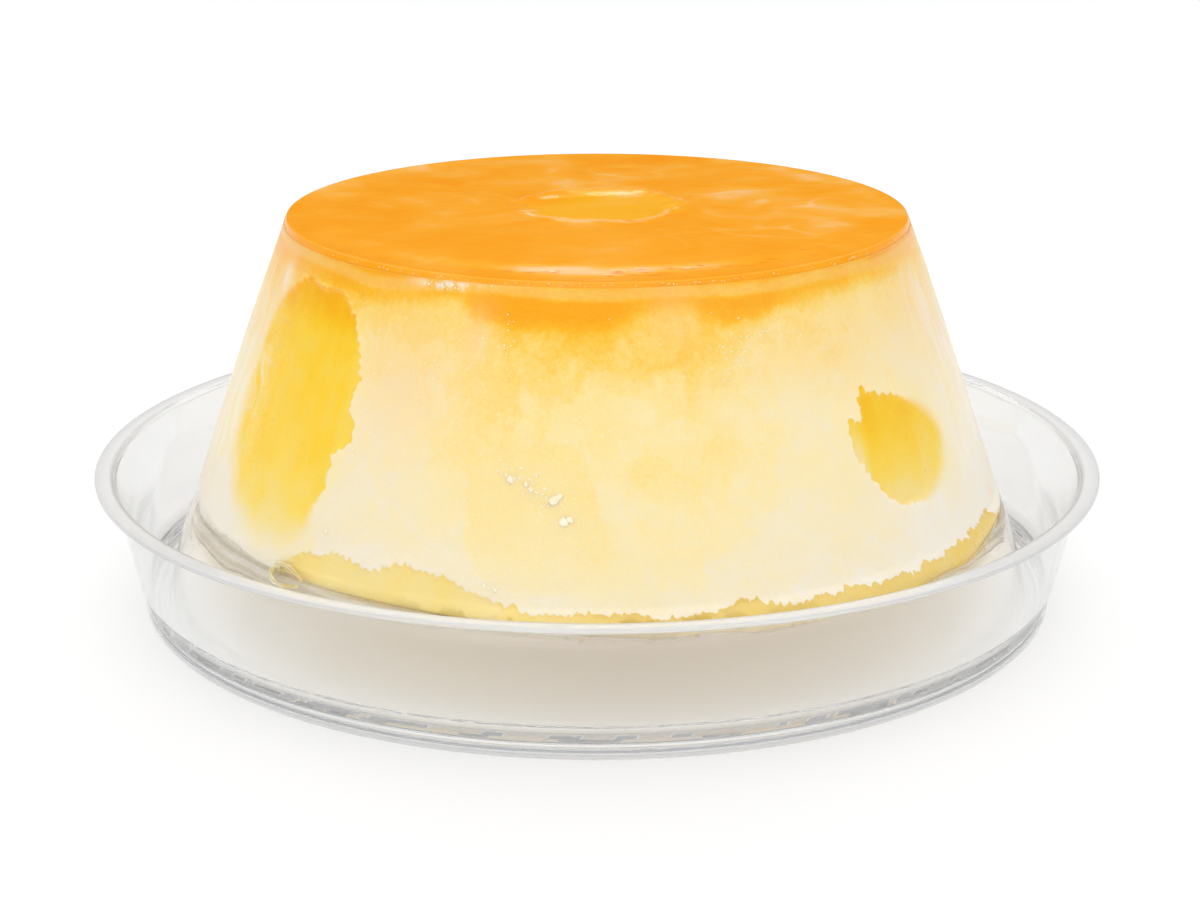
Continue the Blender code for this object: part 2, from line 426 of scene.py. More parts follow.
def turned_solid(rings, top_point, bottom_point):
    """Points and faces of a closed solid from its rings, listed from the top down."""
    rows, columns = rings.shape[:2]
    points = np.concatenate([rings.reshape(-1, 3), [top_point, bottom_point]])
    faces = wrap_faces(rows, columns)
    last = (rows - 1) * columns
    for column in range(columns):
        beside = (column + 1) % columns
        faces.append((rows * columns, column, beside))
        faces.append((rows * columns + 1, last + beside, last + column))
    return points, faces


def brush(piece, name, values):
    """Store one value for each point of a piece, for its finish to read."""
    layer = piece.data.attributes.new(name, "FLOAT", "POINT")
    layer.data.foreach_set("value", np.asarray(values, np.float32))


# ---------------------------------------------------------------- finishes

class Wire:
    """An output socket of a finish. Arithmetic on it adds Math nodes."""

    def __init__(self, finish, socket):
        self.finish = finish
        self.socket = socket

    def __add__(self, other):
        return self.finish.maths("ADD", self, other)

    def __sub__(self, other):
        return self.finish.maths("SUBTRACT", self, other)

    def __rsub__(self, other):
        return self.finish.maths("SUBTRACT", other, self)

    def __mul__(self, other):
        return self.finish.maths("MULTIPLY", self, other)

    __radd__ = __add__
    __rmul__ = __mul__


class Finish:
    """A material under construction."""

    def __init__(self, name, made=None):
        self.material = made or bpy.data.materials.new(name)
        self.material.use_nodes = True
        self.tree = self.material.node_tree
        self.tree.nodes.clear()

    def node(self, kind, settings=None, sockets=None, out=0):
        """Add a node: its settings are set first, then its sockets take values or wires."""
        made = self.tree.nodes.new(kind)
        for name, value in (settings or {}).items():
            if name == "stops":
                set_stops(made.color_ramp, value)
            else:
                setattr(made, name, value)
        for name, value in (sockets or {}).items():
            if isinstance(value, Wire):
                self.tree.links.new(value.socket, made.inputs[name])
            else:
                made.inputs[name].default_value = value
        return Wire(self, made.outputs[out])

    def maths(self, operation, first, second):
        return self.node("ShaderNodeMath", {"operation": operation}, {0: first, 1: second})

    def stored(self, name):
        """A value that brush() stored on the piece."""
        return self.node("ShaderNodeAttribute", {"attribute_name": name}, out="Fac")

    def place(self, stretch=(1, 1, 1)):
        """Where the shaded point is, in millimetres, with each axis stretched."""
        corner = self.node("ShaderNodeTexCoord", out="Object")
        scale = [factor / MM for factor in stretch]
        return self.node("ShaderNodeVectorMath", {"operation": "MULTIPLY"}, {0: corner, 1: scale})

    def noise(self, size, detail=2.0, stretch=(1, 1, 1), roughness=0.5, distortion=0.0):
        """Noise from 0 to 1 with features of so many millimetres."""
        return self.node("ShaderNodeTexNoise", {"normalize": True},
                         {"Vector": self.place(stretch), "Scale": 1 / size, "Detail": detail,
                          "Roughness": roughness, "Distortion": distortion})

    def cells(self, size, feature="F1", randomness=1.0, stretch=(1, 1, 1)):
        """Distance to the nearest of scattered points, about so many millimetres apart."""
        return self.node("ShaderNodeTexVoronoi", {"feature": feature},
                         {"Vector": self.place(stretch), "Scale": 1 / size,
                          "Randomness": randomness}, out="Distance")

    def rise(self, value, low, high, bottom=0.0, top=1.0):
        """Bottom below low, top above high, and a smooth change between them."""
        return self.node("ShaderNodeMapRange", {"interpolation_type": "SMOOTHSTEP"},
                         {"Value": value, "From Min": low, "From Max": high,
                          "To Min": bottom, "To Max": top})

    def ramp(self, value, stops):
        return self.node("ShaderNodeValToRGB", {"stops": stops}, {"Fac": value}, out="Color")

    def blend(self, share, first, second):
        """Mix two colours: all first at 0, all second at 1."""
        return self.node("ShaderNodeMix", {"data_type": "RGBA"}, {0: share, 6: first, 7: second}, out=2)

    def bump(self, height, distance, strength=1.0, under=None):
        """A normal from a height; distance is how many millimetres a height of 1 stands for."""
        sockets = {"Height": height, "Distance": distance * MM, "Strength": strength}
        if under is not None:
            sockets["Normal"] = under
        return self.node("ShaderNodeBump", None, sockets)

    def close(self, surface):
        output = self.tree.nodes.new("ShaderNodeOutputMaterial")
        self.tree.links.new(surface.socket, output.inputs["Surface"])
        return self.material


def set_stops(ramp, stops):
    """Fill a colour ramp with (position, colour) stops."""
    while len(ramp.elements) < len(stops):
        ramp.elements.new(0.5)
    for element, (position, colour) in zip(ramp.elements, stops):
        element.position = position
        element.color = colour


def hue(code):
    """Linear colour from six hex digits."""
    parts = [int(code[i:i + 2], 16) / 255 for i in (0, 2, 4)]
    linear = [part / 12.92 if part <= 0.04045 else ((part + 0.055) / 1.055) ** 2.4 for part in parts]
    return (*linear, 1.0)


# Painted glow: light that the custard's underside gives off, standing in for daylight that comes through the
# custard.
INNER_GLOW, OUTER_GLOW = (0.13, 0.075, 0.0, 1), (0.24, 0.215, 0.17, 1)


def steamed_custard():
    """The flan's side: frosted skin that caramel has soaked into, and smooth flesh where it tore."""
    f = Finish("steamed_custard")
    torn, soft = f.stored("torn"), f.stored("soft")
    fine_edge = torn + (f.noise(0.8, 2) - 0.5) * 0.7
    bare = f.rise(f.maths("DIVIDE", fine_edge + soft * 0.5, soft), 0.0, 1.0)
    skin_lip = f.rise(fine_edge, -0.9, -0.1) * (1 - bare)

    grain = f.noise(0.9, 2, roughness=0.7) - 0.5
    # Painted highlights: tiny whitish specks on the skin stand in for glints.
    glint_specks = f.rise(f.cells(1.9), 0.15, 0.07) * f.rise(f.stored("soak"), 0.8, 0.6)
    tone = f.stored("soak") + grain * 0.2 - skin_lip * 0.03
    skin = f.ramp(tone, [(0.0, hue("F6EEDE")), (0.2, hue("F8EAC6")), (0.36, hue("FCE9B2")),
                         (0.5, hue("FEE398")), (0.64, hue("FED872")), (0.74, hue("FECA48")),
                         (0.84, hue("FEBA1C")), (1.0, hue("FDA900"))])
    skin = f.blend(f.stored("peach") * 0.7, skin, hue("FDC98C"))
    skin = f.blend(glint_specks * 0.25, skin, hue("FFFAEE"))
    flesh = f.ramp(f.stored("flesh"), [(0.0, hue("F9E6A8")), (0.28, hue("FCDF7A")),
                                       (0.45, hue("FEDA58")), (0.62, hue("FFD236")),
                                       (0.8, hue("FEC614")), (1.0, hue("FDB400"))])
    flesh = f.blend(f.stored("ochre"), flesh, hue("E0B94E"))
    colour = f.blend(bare, skin, flesh)
    # Painted sheen on the flanks, with the pale flap, creases and froth.
    colour = f.blend(f.stored("veil"), colour, hue("FBF3E4"))
    colour = f.blend(f.stored("brown") * 0.7, colour, hue("C09A34"))
    colour = f.blend(f.stored("shade"), colour, hue("8C7A55"))

    pores = f.noise(0.5, 1, roughness=0.6)
    normal = f.bump(pores * (1 - bare * 0.75), 0.13, 0.6)
    gloss = 0.46 - bare * 0.16 + grain * 0.2
    # Painted glow on the underside, read from the stored under value.
    glow = f.ramp(f.stored("under"), [(0.0, (0, 0, 0, 1)), (0.5, INNER_GLOW), (1.0, OUTER_GLOW)])
    surface = f.node("ShaderNodeBsdfPrincipled", {"subsurface_method": "BURLEY"}, {
        "Base Color": colour, "Roughness": gloss, "IOR": 1.38, "Specular IOR Level": 0.3,
        "Normal": normal, "Subsurface Weight": 0.5, "Subsurface Radius": (1.0, 0.62, 0.24),
        "Subsurface Scale": 3.0 * MM, "Coat Weight": 0.22, "Coat Roughness": 0.1, "Coat IOR": 1.36,
        "Coat Normal": normal, "Emission Color": glow, "Emission Strength": 1.0})
    custard = f.close(surface)
    custard.cycles.emission_sampling = "NONE"
    return custard


def soaked_caramel():
    """The glossy orange top: paler clouds and veins, painted glints, a painted reflection streak near the front, and
    a yellower dimple.
    """
    f = Finish("soaked_caramel")
    threads = f.noise(2.6, 3, (0.6, 1.5, 1), 0.6)
    # The stored paleness carries painted glints and a painted reflection streak as well as the clouds.
    tone = f.stored("cloud") + (threads - 0.5) * 0.3
    colour = f.ramp(tone, [(0.0, hue("FD9A0C")), (0.3, hue("FDA51C")), (0.5, hue("FEAB2A")),
                           (0.7, hue("FEB546")), (1.0, hue("FDC98C"))])
    colour = f.blend(f.stored("dimple"), colour, f.ramp(tone, [(0.2, hue("FDB414")), (0.9, hue("FDC044"))]))
    colour = f.blend(f.stored("pit"), colour, hue("E87A08"))
    bumps = f.noise(5.5, 3, (1, 1.4, 1), 0.55)
    normal = f.bump(bumps, 0.16, 0.5)
    surface = f.node("ShaderNodeBsdfPrincipled", None, {
        "Base Color": colour, "Roughness": 0.3, "Specular IOR Level": 0.0, "Normal": normal,
        "Coat Weight": 0.6, "Coat Roughness": 0.06, "Coat IOR": 1.4, "Coat Normal": normal})
    return f.close(surface)


def clear_for_light(f, surface):
    """Let lamp light and bounced light through a clear surface, so that what is behind it is lit."""
    open_way = f.node("ShaderNodeBsdfTransparent", None, {"Color": (0.98, 0.983, 0.983, 1)})
    bounced = f.node("ShaderNodeLightPath", out="Is Diffuse Ray")
    surface = f.node("ShaderNodeMixShader", None, {0: bounced, 1: surface, 2: open_way})
    shadow = f.node("ShaderNodeLightPath", out="Is Shadow Ray")
    return f.node("ShaderNodeMixShader", None, {0: shadow, 1: surface, 2: open_way})


def clear_plastic():
    """Thin moulded plastic with faint flow marks; a painted warm shade tints it under the flan, and painted grey
    lines and a paler rim mark its edges.
    """
    f = Finish("clear_plastic")
    normal = f.bump(f.noise(26, 1), 0.15, 0.15)
    # Painted warm shade under the flan.
    colour = f.ramp(f.stored("filmed"), [(0.0, (0.962, 0.969, 0.978, 1)), (1.0, (0.955, 0.9, 0.8, 1))])
    surface = f.node("ShaderNodeBsdfPrincipled", None, {
        "Base Color": colour, "Roughness": f.rise(f.noise(24, 1), 0.3, 0.7, 0.0, 0.03),
        "IOR": 1.5, "Transmission Weight": 0.88, "Normal": normal})
    # Painted shade and light at the edges: a matte layer gives dark grey lines at the wall's step and lightens the
    # rim and the bottom edge.
    tone = f.ramp(f.stored("pale"), [(0.0, (0.42, 0.42, 0.43, 1)), (1.0, (0.93, 0.93, 0.94, 1))])
    painted_edge_shade = f.node("ShaderNodeBsdfPrincipled", None, {"Base Color": tone, "Roughness": 0.25})
    surface = f.node("ShaderNodeMixShader", None, {0: f.stored("edge"), 1: surface, 2: painted_edge_shade})
    return f.close(clear_for_light(f, surface))


def whey():
    """The thin watery syrup that seeps from the custard's foot."""
    f = Finish("whey")
    normal = f.bump(f.noise(4, 1), 0.05, 0.3)
    clear = f.node("ShaderNodeBsdfPrincipled", None, {
        "Base Color": (0.9, 0.885, 0.84, 1), "Roughness": 0.05, "IOR": 1.345,
        "Transmission Weight": 1.0, "Normal": normal})
    # The grey-tan matte layer is partly the syrup's murk and partly painted shade, standing in for the shade seen
    # through the platform at the foot.
    streaks = f.stored("streak") + (f.noise(1.4, 2) - 0.5) * 0.5
    tone = f.ramp(streaks, [(0.1, hue("BDB4A5")), (0.4, hue("D3CBBD")), (0.75, hue("ECE7DD"))])
    murk = f.node("ShaderNodeBsdfPrincipled", None, {"Base Color": tone, "Roughness": 0.2, "IOR": 1.345})
    surface = f.node("ShaderNodeMixShader", None, {0: f.stored("murk"), 1: clear, 2: murk})
    return f.close(clear_for_light(f, surface))


def froth():
    """Small bubbles and curds stuck to the skin."""
    f = Finish("froth")
    colour = f.ramp(f.noise(1.6, 2), [(0.3, hue("FBEABE")), (0.7, hue("FDF4DC"))])
    surface = f.node("ShaderNodeBsdfPrincipled", None, {
        "Base Color": colour, "Roughness": 0.4, "Specular IOR Level": 0.05,
        "Normal": f.bump(f.noise(0.7, 2), 0.06, 0.4)})
    return f.close(surface)


def syrup_bubbles():
    """The row of tiny bubbles where the glossy lip meets the side."""
    f = Finish("syrup_bubbles")
    colour = f.ramp(f.noise(2.5, 2), [(0.35, hue("FDB84A")), (0.65, hue("FEE3A8"))])
    surface = f.node("ShaderNodeBsdfPrincipled", None, {
        "Base Color": colour, "Roughness": 0.1, "IOR": 1.4, "Coat Weight": 0.6,
        "Coat Roughness": 0.03})
    return f.close(surface)


def half_set_custard():
    """Thin translucent yellow custard that ran from the foot."""
    f = Finish("half_set_custard")
    colour = f.ramp(f.noise(2, 1), [(0.35, hue("F1D67C")), (0.65, hue("FAEBB4"))])
    surface = f.node("ShaderNodeBsdfPrincipled", None, {
        "Base Color": colour, "Roughness": 0.12, "IOR": 1.36, "Coat Weight": 0.5,
        "Coat Roughness": 0.04, "Transmission Weight": 0.45})
    return f.close(surface)


def toasted_crumb():
    """Crumbs of overcooked custard."""
    f = Finish("toasted_crumb")
    colour = f.ramp(f.noise(0.8, 2), [(0.3, hue("A98324")), (0.7, hue("DDBB4A"))])
    surface = f.node("ShaderNodeBsdfPrincipled", None, {
        "Base Color": colour, "Roughness": 0.35, "Normal": f.bump(f.noise(0.3, 2), 0.05, 0.5)})
    return f.close(surface)


def pale_floor():
    f = Finish("pale_floor")
    surface = f.node("ShaderNodeBsdfPrincipled", None, {
        "Base Color": (0.905, 0.912, 0.924, 1), "Roughness": 0.9, "Specular IOR Level": 0.0})
    return f.close(surface)


# ---------------------------------------------------------------- the custard

def contact_angle(azimuth):
    """Where the custard's foot meets the platform's shoulder: 90 is on the flat."""
    reach = round_the_flan(azimuth, DROOP) + 0.12 * side_noise(azimuth, azimuth * 0, 9, 9, 61)
    return 90 - 45 * np.clip(reach, 0, 1.05)


def on_shoulder(angle, lift):
    """Radius and height of a place on the platform's rounded edge, lifted off its surface."""
    reach = SHOULDER + lift
    return (PLATFORM_FLAT + reach * np.cos(np.radians(angle)),
            PLATFORM - SHOULDER + reach * np.sin(np.radians(angle)))


def make_custard():
    """The side, its foot and its underside, as one closed solid with the torn skin in relief."""
    steps = np.linspace(-math.pi, math.pi, COLUMNS, endpoint=False)
    azimuth = np.degrees(steps - FRONT_DENSITY * np.sin(steps))
    rings = []
    layers = []

    side_heights = np.linspace(CROWN, WIDEST, SIDE_ROWS)
    angle = contact_angle(azimuth)
    foot_radius, foot_height = on_shoulder(angle, -0.2)
    chord_out, chord_down = foot_radius - FOOT_RADIUS, foot_height - WIDEST
    chord = np.hypot(chord_out, chord_down)
    bulge = 1.15 - 0.1 * (90 - angle) / 45

    nominal = list(side_heights) + list(WIDEST - 4.8 * np.arange(1, FOOT_ROWS + 1) / FOOT_ROWS)
    grid_azimuth = np.broadcast_to(azimuth, (len(nominal), COLUMNS))
    grid_height = np.broadcast_to(np.array(nominal)[:, None], grid_azimuth.shape)
    marks = side_marks(grid_azimuth, grid_height)
    relief = side_relief(grid_azimuth, grid_height, marks)

    for row, height in enumerate(nominal):
        out = relief[row]
        if row < SIDE_ROWS:
            radius, level = side_radius(height) + out, np.full(COLUMNS, height)
        else:
            share = (row - SIDE_ROWS + 1) / FOOT_ROWS
            swell = bulge * np.sin(math.pi * share) + out * (1 - share)
            radius = FOOT_RADIUS + chord_out * share - chord_down / chord * swell
            level = WIDEST + chord_down * share + chord_out / chord * swell
        rings.append(turn_to_place(azimuth, radius, level))
    for share in (0.35, 0.7, 1.0):
        radius, level = on_shoulder(angle + (90 - angle) * share, -0.2)
        rings.append(turn_to_place(azimuth, radius - 0.6 * share, level))
    for radius in (60, 30):
        rings.append(turn_to_place(azimuth, np.full(COLUMNS, radius), np.full(COLUMNS, PLATFORM - 0.2)))

    under_lid = turn_to_place(azimuth, np.full(COLUMNS, side_radius(CROWN) - 2.5),
                              np.full(COLUMNS, CROWN - 0.5))
    rings.insert(0, under_lid)
    rings = np.array(rings)
    points, faces = turned_solid(rings, (0, 0, CROWN - 0.5), (0, 0, PLATFORM - 0.2))
    piece = mesh_piece("custard_body", points, faces, steamed_custard())
    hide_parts("custard")
    extra = len(rings) - len(nominal) - 1
    # The painted glow: none on the side, strongest and palest round the foot, warmer towards the middle.
    marks["under"] = np.zeros(marks["torn"].shape)
    below = np.repeat([[1.0], [1.0], [1.0], [0.6], [0.5]], COLUMNS, axis=1)
    for name, values in marks.items():
        tail = below if name == "under" else np.repeat(values[-1:], extra, axis=0)
        rows = np.concatenate([values[:1], values, tail])
        brush(piece, name, np.concatenate([rows.ravel(), [values[0, 0], tail[-1, 0]]]))
    return piece


# ---------------------------------------------------------------- the caramel

DIMPLE_RADIUS = 15.7
DIMPLE_DEPTH = 0.62
DIMPLE_PLACE = (1.2, 4.0)          # the hollow lies a little behind the middle
STEP_START, STEP_END, STEP_DROP = 49.5, 55.5, 0.5
LIP_RADIUS = side_radius(76.0) - 0.05
LIP_ROUNDING = 0.4


def place_round(x, y):
    """Radius and azimuth of places on the top."""
    return np.hypot(x, y), np.degrees(np.arctan2(x, -y))


def caramel_drop(x, y):
    """How far the caramel's surface lies below the highest level."""
    radius, azimuth = place_round(x, y)
    hollow = np.hypot(x - DIMPLE_PLACE[0], y - DIMPLE_PLACE[1])
    uneven = 1.5 * flat_noise(x, y, 8, 71) + 0.7 * flat_noise(x, y, 3, 70)
    dimple = DIMPLE_DEPTH * (1 - eased(hollow + uneven, DIMPLE_RADIUS - 3.6, DIMPLE_RADIUS + 0.4))
    ripple = 0.09 * np.exp(-((hollow + uneven - DIMPLE_RADIUS - 1.2) / 0.5) ** 2)
    front = blot(azimuth, azimuth * 0, (-2, 0), (46, 1))
    wander = radius + 0.9 * side_noise(azimuth, radius * 0, 26, 9, 72)
    ring = STEP_DROP * eased(wander, STEP_START, STEP_END) * front
    waves = 0.05 * (1 + flat_noise(x, y, 15, 73)) + 0.022 * (1 + flat_noise(x, y, 5.5, 74))
    return dimple - ripple + 0.09 + ring + waves * (1 - eased(radius, 57, 60))


# Pale veins on the top: x, y, half length and half width of the place, and the vein's direction.
VEIN_PLACES = ((-36, 9, 16, 7, 10), (38, 10, 18, 9, -20), (-8, 32, 26, 9, 15), (30, -22, 20, 10, 25),
               (16, -12, 10, 5, 30), (-22, 22, 12, 9, 40))


def caramel_clouds_and_glints(x, y):
    """How pale the caramel is: 0.4 on average, over 1 where it is whitish; it includes painted glints round the
    dimple and a painted reflection streak near the front.
    """
    radius, azimuth = place_round(x, y)
    far_x, far_y = x + 5 * flat_noise(x, y, 13, 121), y + 5 * flat_noise(x, y, 13, 122)
    cloud = 0.26 * flat_noise(far_x, far_y, 14, 123) + 0.2 * flat_noise(far_x, far_y, 6, 124)
    cloud = 0.43 + (cloud + 0.07 * flat_noise(far_x, far_y, 2.6, 125)) * (0.55 + 0.45 * eased(y, -30, 5))
    for place_x, place_y, length, width, slope in VEIN_PLACES:
        turn = math.radians(slope)
        along = (x - place_x) * math.cos(turn) + (y - place_y) * math.sin(turn)
        beside = (y - place_y) * math.cos(turn) - (x - place_x) * math.sin(turn)
        near = np.exp(-(along / length) ** 2 - (beside / width) ** 2)
        thread = np.clip(1 - np.abs(flat_noise(far_x + 0.8 * beside, far_y - along * 0.4, 8, 126)) / 0.13, 0, 1)
        cloud += near * (0.1 + 0.34 * thread)
    back_edges = blot(azimuth, radius, (128, 57), (26, 8)) + 0.6 * blot(azimuth, radius, (-136, 57), (24, 7))
    cloud += 0.5 * back_edges * (0.7 + 0.6 * flat_noise(far_x, far_y, 5, 127))
    hollow = np.hypot(x - DIMPLE_PLACE[0], y - DIMPLE_PLACE[1]) + 1.5 * flat_noise(x, y, 8, 71)
    # Painted highlights: glints along the dimple's rim, strongest towards its left, and a glint on its back slope.
    glints = eased(flat_noise(x, y, 2.6, 129), 0.05, 0.5)
    cloud += 0.6 * np.exp(-((hollow - DIMPLE_RADIUS - 0.3) / 0.9) ** 2) * glints * (0.35 + 0.65 * blot(azimuth, radius, (-70, 15), (60, 9)))
    cloud += 0.45 * np.exp(-((x - 5) / 5) ** 2 - ((y - 17) / 2.4) ** 2) * (0.4 + glints)
    # Painted reflection: a pale streak near the front edge, where a lamp would be mirrored.
    streak = blot(azimuth, radius, (-1, 52.4), (28, 2.3)) * (0.85 + 0.5 * flat_noise(far_x, far_y, 4, 128))
    edge_line = blot(azimuth, radius, (0, 59.4), (48, 0.7))
    return np.clip(cloud + 0.75 * streak - 0.25 * edge_line, 0, 1.2)


def caramel_pits():
    """Small pits along the front of the ring, as (x, y, half length, half width, depth)."""
    draw = np.random.default_rng(8)
    pits = []
    for _ in range(34):
        azimuth = draw.normal(8, 18)
        radius = draw.uniform(51.5, 56)
        spot = turn_to_place(azimuth, radius, 0.0)
        pits.append((spot[0], spot[1], draw.uniform(0.35, 1.3), draw.uniform(0.2, 0.42),
                     draw.uniform(0.05, 0.16)))
    return pits


def make_caramel():
    """The caramel sheet: dimple, shallow ring, rounded glossy lip, and the face under it."""
    columns = 640
    azimuth = np.linspace(-180, 180, columns, endpoint=False)
    level_end = LIP_RADIUS - LIP_ROUNDING
    radii = np.concatenate([np.linspace(0.8, 9, 8), np.linspace(9.5, 21.5, 36),
                            np.linspace(22.2, 48.6, 38), np.linspace(49, 56, 26),
                            np.linspace(56.4, level_end, 12)])
    angles = np.radians(azimuth)
    x = radii[:, None] * np.sin(angles)
    y = -radii[:, None] * np.cos(angles)
    drop = caramel_drop(x, y)
    pitted = np.zeros(x.shape)
    for pit_x, pit_y, length, width, depth in caramel_pits():
        pit = np.exp(-((x - pit_x) / length) ** 2 - ((y - pit_y) / width) ** 2)
        drop += depth * pit
        pitted = np.maximum(pitted, pit)
    rings = list(np.stack([x, y, TOP - drop], -1))
    edge_level = TOP - drop[-1]
    for turn in (22, 45, 68, 90):
        bend = math.radians(turn)
        rings.append(turn_to_place(azimuth, level_end + LIP_ROUNDING * math.sin(bend),
                                   edge_level - LIP_ROUNDING * (1 - math.cos(bend))))
    for share in (0.4, 0.8, 1.0):
        level = edge_level - LIP_ROUNDING
        level = level + (CROWN - 0.1 - level) * share
        rings.append(turn_to_place(azimuth, LIP_RADIUS + 0.3 * share, level))
    rings.append(turn_to_place(azimuth, np.full(columns, LIP_RADIUS - 1.2), np.full(columns, CROWN - 0.2)))
    rings = np.array(rings)
    top_point = (0, 0, TOP - caramel_drop(np.zeros(1), np.zeros(1))[0])
    points, faces = turned_solid(rings, top_point, (0, 0, CROWN - 0.2))
    piece = mesh_piece("caramel_sheet", points, faces, soaked_caramel())
    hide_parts("caramel_top")
    reach = np.hypot(points[:, 0] - DIMPLE_PLACE[0], points[:, 1] - DIMPLE_PLACE[1])
    reach = reach + 2.2 * flat_noise(points[:, 0], points[:, 1], 9, 77) + 0.8 * flat_noise(points[:, 0], points[:, 1], 3, 78)
    brush(piece, "dimple", 0.85 * (1 - eased(reach, DIMPLE_RADIUS - 5, DIMPLE_RADIUS + 1.5)))
    brush(piece, "cloud", caramel_clouds_and_glints(points[:, 0], points[:, 1]))
    unpitted = np.zeros(len(points) - pitted.size)
    brush(piece, "pit", 0.8 * np.concatenate([pitted.ravel(), unpitted]))
    return piece


# ---------------------------------------------------------------- froth, curds and crumbs

SIDE_LEAN = math.atan((FOOT_RADIUS - SEAM_RADIUS) / (SEAM - WIDEST))


def on_side(azimuth, height):
    """Points on the flan's finished side, and the directions straight out of it."""
    azimuth, height = np.asarray(azimuth, float), np.asarray(height, float)
    relief = side_relief(azimuth, height, side_marks(azimuth, height))
    points = turn_to_place(azimuth, side_radius(height) + relief, height)
    outward = turn_to_place(azimuth, math.cos(SIDE_LEAN), np.full(azimuth.shape, math.sin(SIDE_LEAN)))
    return points, outward


def ball():
    """Points and faces of a small round ball of radius 1."""
    shape = bmesh.new()
    bmesh.ops.create_icosphere(shape, subdivisions=2, radius=1)
    points = np.array([vertex.co for vertex in shape.verts])
    faces = [[vertex.index for vertex in face.verts] for face in shape.faces]
    shape.free()
    return points, faces


def scatter_balls(name, places, outward, sizes, finish, flat=0.7, lumpy=0.0, long=1.0):
    """One piece of many balls at given places, pressed flat along their outward directions."""
    draw = np.random.default_rng(len(name))
    shape, shape_faces = ball()
    points, faces = [], []
    for place, out, size in zip(places, outward, sizes):
        across = np.cross(out, (0.0, 0.0, 1.0) if abs(out[2]) < 0.9 else (1.0, 0.0, 0.0))
        across /= np.linalg.norm(across)
        up = np.cross(across, out)
        turn = draw.uniform(0, math.pi)
        across, up = (across * math.cos(turn) + up * math.sin(turn),
                      up * math.cos(turn) - across * math.sin(turn))
        grown = shape * (1 + lumpy * draw.uniform(-1, 1, (len(shape), 1)))
        placed = (grown[:, :1] * across * long * draw.uniform(0.8, 1.25)
                  + grown[:, 1:2] * up + grown[:, 2:] * out * flat)
        first = len(points) * len(shape)
        points.append(place + placed * size)
        faces += [[first + corner for corner in face] for face in shape_faces]
    return mesh_piece(name, np.concatenate(points), faces, finish)


# Groups of bubbles: azimuth, height, half length and half width in millimetres, slope in degrees,
# how many, and their largest radius.
BUBBLE_GROUPS = ((-10.5, 43.4, 5.0, 1.6, -32, 44, .22), (-7, 40.5, 3.5, 1.6, -50, 20, .2),
                 (22, 63.5, 5.5, 3.2, 30, 60, .17), (20, 59, 5.0, 2.0, 15, 26, .15),
                 (27, 66, 3.0, 2.0, 20, 18, .16), (-14, 65.5, 1.5, 5.0, 0, 22, .17),
                 (-24.5, 60, 3.0, 4.5, 0, 14, .15), (-37, 50, 2.2, 8.0, 0, 18, .16),
                 (-12.5, 25.7, 3.2, 0.8, -12, 16, .22), (-38, 30, 2.5, 1.2, 0, 14, .22),
                 (34, 52, 8.0, 6.0, 0, 26, .13), (5, 34, 9.0, 6.0, 0, 16, .12),
                 (103, 50, 7.0, 7.0, 20, 40, .17), (158, 45, 5.0, 2.0, 40, 30, .26),
                 (-25, 74.4, 4.5, 0.7, 0, 44, .2), (-120, 60, 6.0, 4.0, -20, 40, .16), (-168, 64, 6.0, 3.0, 10, 30, .16))
CURDS = ((-5.6, 40.6, .85), (-5.0, 41.3, .5), (-4.4, 37.1, .8), (-3.5, 37.5, .5), (-11.8, 43.6, .6), (-9.6, 43.0, .42), (-8.9, 42.3, .38),
         (-8.1, 41.8, .3), (-12.4, 44.3, .26), (-13.6, 44.9, .2), (-11.2, 43.8, .26), (-10.4, 45.6, .22),
         (-8.2, 44.6, .24), (-7.0, 42.4, .22), (-36.6, 45, .3), (-38.5, 30.4, .35), (-12.8, 25.6, .35),
         (157, 45, .8), (161, 43.5, .5), (-147, 33, .4))


def make_froth():
    """Bubbles in groups and alone on the skin and under the lip, and white curds."""
    draw = np.random.default_rng(12)
    azimuth, height, size = [], [], []
    for at, level, length, width, slope, count, largest in BUBBLE_GROUPS:
        along, beside = draw.normal(0, 0.5, (2, count))
        tilt = math.radians(slope)
        right = along * length * math.cos(tilt) - beside * width * math.sin(tilt)
        rise = along * length * math.sin(tilt) + beside * width * math.cos(tilt)
        azimuth += list(at + np.degrees(right / side_radius(level)))
        height += list(level + rise)
        size += list(largest * draw.uniform(0.3, 1, count) ** 1.5)
    azimuth += list(draw.uniform(-180, 180, 180))
    height += list(draw.uniform(25, 72, 180))
    size += list(draw.uniform(0.05, 0.11, 180))
    places, outward = on_side(azimuth, height)
    finish = froth()
    scatter_balls("froth_bubbles", places, outward, size, finish, flat=0.4)

    azimuth, height, size = zip(*CURDS)
    places, outward = on_side(azimuth, height)
    scatter_balls("curds", places, outward, size, finish, flat=0.16, lumpy=0.22, long=1.3)


def make_lip_bubbles():
    """The dotted row of tiny bubbles where the glossy lip meets the side."""
    draw = np.random.default_rng(5)
    azimuth = np.arange(-180, 180, 0.62)
    azimuth = azimuth + draw.uniform(-0.25, 0.25, azimuth.shape)
    chance = 0.45 + 0.45 * blot(azimuth, azimuth * 0, (8, 0), (46, 1))
    chance *= 0.7 + 0.5 * side_noise(azimuth, azimuth * 0, 6, 6, 91)
    azimuth = azimuth[draw.uniform(0, 1, azimuth.shape) < chance]
    level = CROWN + 0.25 + draw.uniform(-0.12, 0.3, azimuth.shape)
    places = turn_to_place(azimuth, LIP_RADIUS + 0.12, level)
    outward = turn_to_place(azimuth, math.cos(SIDE_LEAN), np.full(azimuth.shape, math.sin(SIDE_LEAN)))
    size = draw.uniform(0.07, 0.19, azimuth.shape)
    scatter_balls("lip_bubbles", places, outward, size, syrup_bubbles(), flat=0.8)


